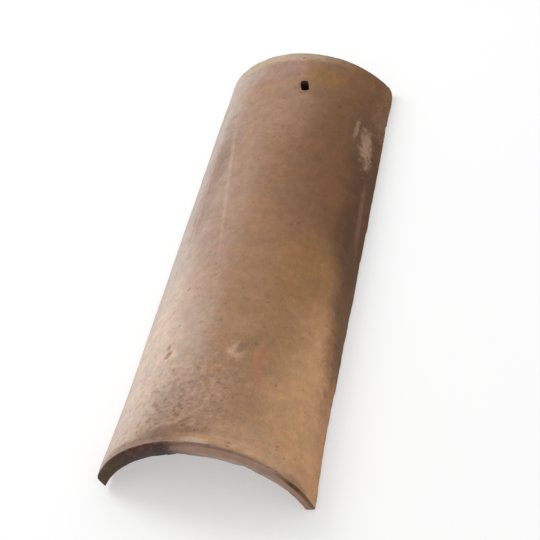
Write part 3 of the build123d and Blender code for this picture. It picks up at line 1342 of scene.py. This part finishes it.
CUT = Finish(
    name="cut edge",
    body=shade(165, 134, 114),
    pale=shade(182, 160, 146),
    dark=shade(64, 42, 34),
    worn=shade(178, 152, 132),
    streak_strength=0.08,
    wear_strength=0.15,
    seed=57.0,
    stains_and_painted_light=(
        StainOrPaintedLight("burnt left half", (-66, -228), (51, 14), (74, 57, 50), 0.97, ragged=0.12, softness=0.12),
        StainOrPaintedLight("olive tip", (-80, -228), (20, 14), (80, 66, 42), 0.75),
        StainOrPaintedLight("maroon under the arris", (-38, -228), (28, 14), (80, 46, 42), 0.75,
              ragged=0.1, through_mm=5, half_depth_mm=4),
        StainOrPaintedLight("blue-grey inner edge", (-32, -228), (34, 14), (78, 72, 78), 0.6,
              ragged=0.1, through_mm=-7, half_depth_mm=4),
        StainOrPaintedLight("pale inner edge", (40, -228), (44, 14), (184, 168, 158), 0.5,
              ragged=0.1, through_mm=-6, half_depth_mm=3.5),
        StainOrPaintedLight("dark line under the arris", (18, -228), (34, 14), (126, 90, 72), 0.55,
              ragged=0.2, through_mm=6.5, half_depth_mm=1.6),
        StainOrPaintedLight("groove under the arris", (86, -228), (22, 14), (100, 62, 36), 0.8,
              ragged=0.15, through_mm=3.6, half_depth_mm=2.4),
        StainOrPaintedLight("deepest of the groove", (80, -228), (6, 14), (70, 36, 18), 0.8,
              ragged=0.15, through_mm=3.2, half_depth_mm=2),
        # Painted shade: the nail hole's walls are made near black to stand in for the shade deep inside the
        # hole.
        StainOrPaintedLight("painted shade in the nail hole", (4.4, 182.4), (9, 12), (46, 26, 14), 0.97, ragged=0.1, softness=0.2),
    ),
)


@dataclass
class Tile:
    """The whole fired tile: its wall, its relief and its three finishes."""

    barrel: Barrel = field(default_factory=Barrel)
    relief: Relief = field(default_factory=Relief)

    def nail_hole(self) -> Tuple[float, float, float]:
        """Find the nail hole on the laid-out wall.

        Returns:
            Its distance across on the middle radius, its distance along, and its radius.
        """
        mount = next(m for m in frame["record"]["mounts"] if m["name"] == "nail_hole")
        centre = self.barrel.to_barrel(Vector(mount["pos_m"]))
        angle = math.atan2(centre.x, centre.z)
        return angle * self.barrel.middle_radius, centre.y, mount["dims"]["r_mm"] * MM

    def inputs(self) -> Dict[str, Any]:
        """Gather the wall tree's inputs by name.

        Returns:
            The value of each input.
        """
        barrel = self.barrel
        across, along, radius = self.nail_hole()
        box_low, box_high = (tuple(corner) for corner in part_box(NODE))
        share_along = along / (barrel.length / 2)
        widening = barrel.narrow_foot_angle - barrel.wide_foot_angle
        foot = barrel.wide_foot_angle + widening * (share_along + 1) / 2
        shared = {name.replace("_", " ").title(): getattr(barrel, name) for name in barrel.SHARED}
        return {
            **shared, "Standing Shift": tuple(barrel.standing_shift()),
            "Box Low": box_low, "Box High": box_high,
            "Hole Column": barrel.nearest_line(across / barrel.middle_radius / foot, barrel.columns),
            "Hole Row": barrel.nearest_line(share_along, barrel.rows),
            "Hole Across": across, "Hole Along": along, "Hole Radius": radius,
        }

    def build(self, groups: ShadeGroups) -> bpy.types.Object:
        """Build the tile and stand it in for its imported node.

        Args:
            groups: The shared shading effects.

        Returns:
            The tile, as a plain mesh.
        """
        finishes = {Face.BACK: BACK.material(groups), Face.HOLLOW: HOLLOW.material(groups),
                    Face.CUT: CUT.material(groups)}
        relief = self.relief.tree(self.barrel.length / 2)
        sizes = self.inputs()
        tree = WallTree(sizes, relief, finishes).bench.tree
        wall = grown("tile_wall", tree, sizes)
        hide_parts(NODE)
        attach(wall, BODY)
        return wall


def grown(name: str, tree: bpy.types.NodeTree, inputs: Mapping[str, Any]) -> bpy.types.Object:
    """Grow a plain mesh from a tree of geometry nodes.

    Args:
        name: The new piece's name.
        tree: The tree of geometry nodes.
        inputs: The value of each of its named inputs.

    Returns:
        The piece, a plain mesh with no modifier.
    """
    seedling = bpy.data.objects.new(name, bpy.data.meshes.new(name))
    bpy.context.scene.collection.objects.link(seedling)
    modifier = seedling.modifiers.new("grow", "NODES")
    modifier.node_group = tree
    sockets = {item.name: item.identifier for item in tree.interface.items_tree if item.in_out == "INPUT"}
    for socket, value in inputs.items():
        modifier[sockets[socket]] = value
    graph = bpy.context.evaluated_depsgraph_get()
    grown_up = seedling.evaluated_get(graph)
    mesh = bpy.data.meshes.new_from_object(grown_up, preserve_all_data_layers=True, depsgraph=graph)
    seedling.modifiers.remove(modifier)
    seedling.data = mesh
    mesh.name = name
    return seedling


@dataclass
class Studio:
    """A plain pale floor, soft light and the camera."""

    floor_half: float = 4.0
    azimuth: float = math.radians(20.28)
    elevation: float = math.radians(48.68)
    roll: float = math.radians(-11.16)
    distance: float = 1.5
    lens: float = 120.44
    sensor: float = 36.0
    target: Triple = (15.7 * MM, -26.6 * MM, 40 * MM)
    key_power: float = 18.5
    key_size: float = 0.9
    key_place: Triple = (-1.35, 0.55, 1.35)
    world_light: float = 0.72
    floor_glow: float = 0.4

    def camera(self) -> bpy.types.Object:
        """Stand the camera where the tile is seen from, leaning a little to one side.

        Returns:
            The camera.
        """
        back = Vector((math.sin(self.azimuth) * math.cos(self.elevation),
                       -math.cos(self.azimuth) * math.cos(self.elevation), math.sin(self.elevation)))
        right = (-back).cross(Vector((0, 0, 1))).normalized()
        up = right.cross(-back)
        leaning_right = math.cos(self.roll) * right + math.sin(self.roll) * up
        leaning_up = math.cos(self.roll) * up - math.sin(self.roll) * right
        data = bpy.data.cameras.new("camera")
        data.sensor_width = self.sensor
        data.lens = self.lens
        camera = bpy.data.objects.new("camera", data)
        bpy.context.scene.collection.objects.link(camera)
        axes = Matrix((leaning_right, leaning_up, back)).transposed()
        camera.matrix_world = Matrix.Translation(Vector(self.target) + back * self.distance) @ axes.to_4x4()
        bpy.context.scene.camera = camera
        return camera

    def floor(self) -> bpy.types.Object:
        """Lay a pale floor that shows white, with the tile's shadow on it.

        Returns:
            The floor.
        """
        mesh = bpy.data.meshes.new("floor")
        half = self.floor_half
        corners = [(-half, -half, 0), (half, -half, 0), (half, half, 0), (-half, half, 0)]
        mesh.from_pydata(corners, [], [(0, 1, 2, 3)])
        floor = bpy.data.objects.new("floor", mesh)
        bpy.context.scene.collection.objects.link(floor)
        material = bpy.data.materials.new("pale floor")
        material.use_nodes = True
        material.node_tree.nodes.clear()
        b = Bench(material.node_tree)
        seen = b.node("ShaderNodeLightPath").outputs["Is Camera Ray"]
        colour = b.tinted(seen, PAPER, WHITE)
        paint = b.node("ShaderNodeBsdfDiffuse", {"Color": colour})
        white = b.node("ShaderNodeEmission", {"Color": WHITE, "Strength": 1.0})
        share = b.times(seen, self.floor_glow)
        shown = b.node("ShaderNodeMixShader", {0: share, 1: paint.outputs[0], 2: white.outputs[0]})
        b.node("ShaderNodeOutputMaterial", {"Surface": shown.outputs[0]})
        mesh.materials.append(material)
        return floor

    def lights(self) -> None:
        """Hang one large soft lamp up to the left, and fill the room with even light."""
        lamp = bpy.data.lights.new("key", "AREA")
        lamp.energy = self.key_power
        lamp.size = self.key_size
        key = bpy.data.objects.new("key", lamp)
        key.location = self.key_place
        key.rotation_mode = "QUATERNION"
        key.rotation_quaternion = (Vector((0, 0, 0)) - Vector(self.key_place)).to_track_quat("-Z", "Y")
        bpy.context.scene.collection.objects.link(key)
        world = bpy.data.worlds.new("room")
        world.use_nodes = True
        bpy.context.scene.world = world
        world.node_tree.nodes.clear()
        b = Bench(world.node_tree)
        seen = b.node("ShaderNodeLightPath").outputs["Is Camera Ray"]
        strength = b.between(seen, self.world_light, 1.0)
        room = b.node("ShaderNodeBackground", {"Color": WHITE, "Strength": strength})
        b.node("ShaderNodeOutputWorld", {"Surface": room.outputs[0]})

    def build(self) -> None:
        """Set the whole studio up."""
        self.floor()
        self.lights()
        self.camera()
        bpy.context.scene.view_settings.view_transform = "Standard"


def main() -> None:
    """Build the tile and its studio, and report each piece."""
    logging.basicConfig(level=logging.INFO, format="%(name)s: %(message)s")
    wall = Tile().build(ShadeGroups())
    log.info("%s: %d points, %d faces", wall.name, len(wall.data.vertices), len(wall.data.polygons))
    Studio().build()
    log.info("studio set")


if __name__ == "__main__":
    main()
